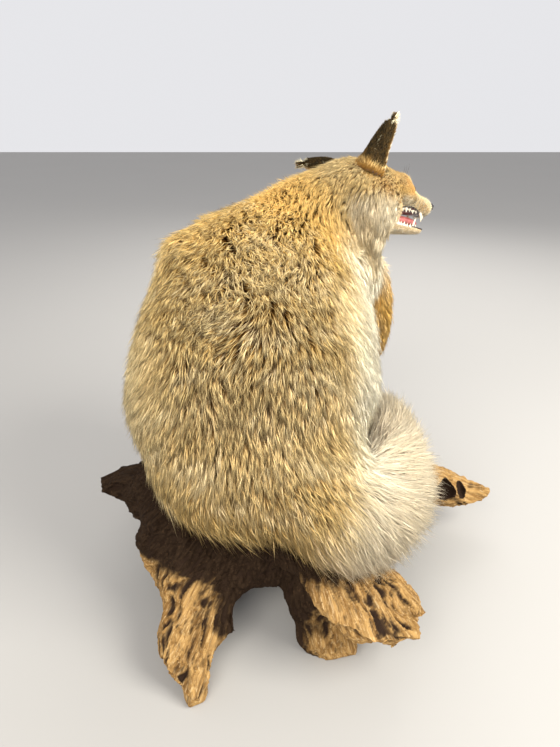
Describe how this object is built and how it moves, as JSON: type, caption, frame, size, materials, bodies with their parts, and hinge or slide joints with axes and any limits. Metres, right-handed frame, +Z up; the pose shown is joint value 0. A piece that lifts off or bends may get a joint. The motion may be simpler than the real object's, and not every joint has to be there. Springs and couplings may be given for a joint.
{
  "type": "taxidermy fox on driftwood",
  "caption": "Life-size mounted red fox sitting hunched on a weathered driftwood stump, head turned to one side with the mouth open in a snarl and the brush laid along its haunch",
  "frame": {"origin": "bottom centre of the whole model's bounding box, on the surface that the driftwood stands on", "axes": "+Z up; +Y the way the sitting body faces; +X the fox's right, the side to which the head is turned"},
  "size_m": [0.5792, 0.4842, 0.596],
  "materials": {
    "body_coat": "long fur, straw and golden tan with dark brown tips along the back",
    "leg_coat": "short orange brown fur, darker on the paws, with horn claws",
    "tail_coat": "long loose straw coloured brush hair",
    "ear": "short velvety dark brown fur on the back, pale hair inside",
    "glass_eye": "clear glossy amber glass eye with a dark pupil",
    "leather_nose": "black, finely pebbled and slightly moist",
    "tongue": "wet looking pink red",
    "wood": "weathered fibrous driftwood, golden tan ridges and grey brown hollows"
  },
  "bodies": {
    "root": {"head": "body_coat", "lower_jaw": "body_coat", "neck": "body_coat", "trunk": "body_coat", "upper_arm_left": "leg_coat", "forearm_left": "leg_coat", "fore_paw_left": "leg_coat", "thigh_left": "leg_coat", "shank_left": "leg_coat", "hind_foot_left": "leg_coat", "hind_paw_left": "leg_coat", "upper_arm_right": "leg_coat", "forearm_right": "leg_coat", "fore_paw_right": "leg_coat", "thigh_right": "leg_coat", "shank_right": "leg_coat", "hind_foot_right": "leg_coat", "hind_paw_right": "leg_coat", "tail_base": "tail_coat", "tail_middle": "tail_coat", "tail_tip": "tail_coat", "ear_left": "ear", "ear_right": "ear", "eye_left": "glass_eye", "eye_right": "glass_eye", "nose": "leather_nose", "tongue": "tongue", "driftwood": "wood"}
  },
  "joints": []
}
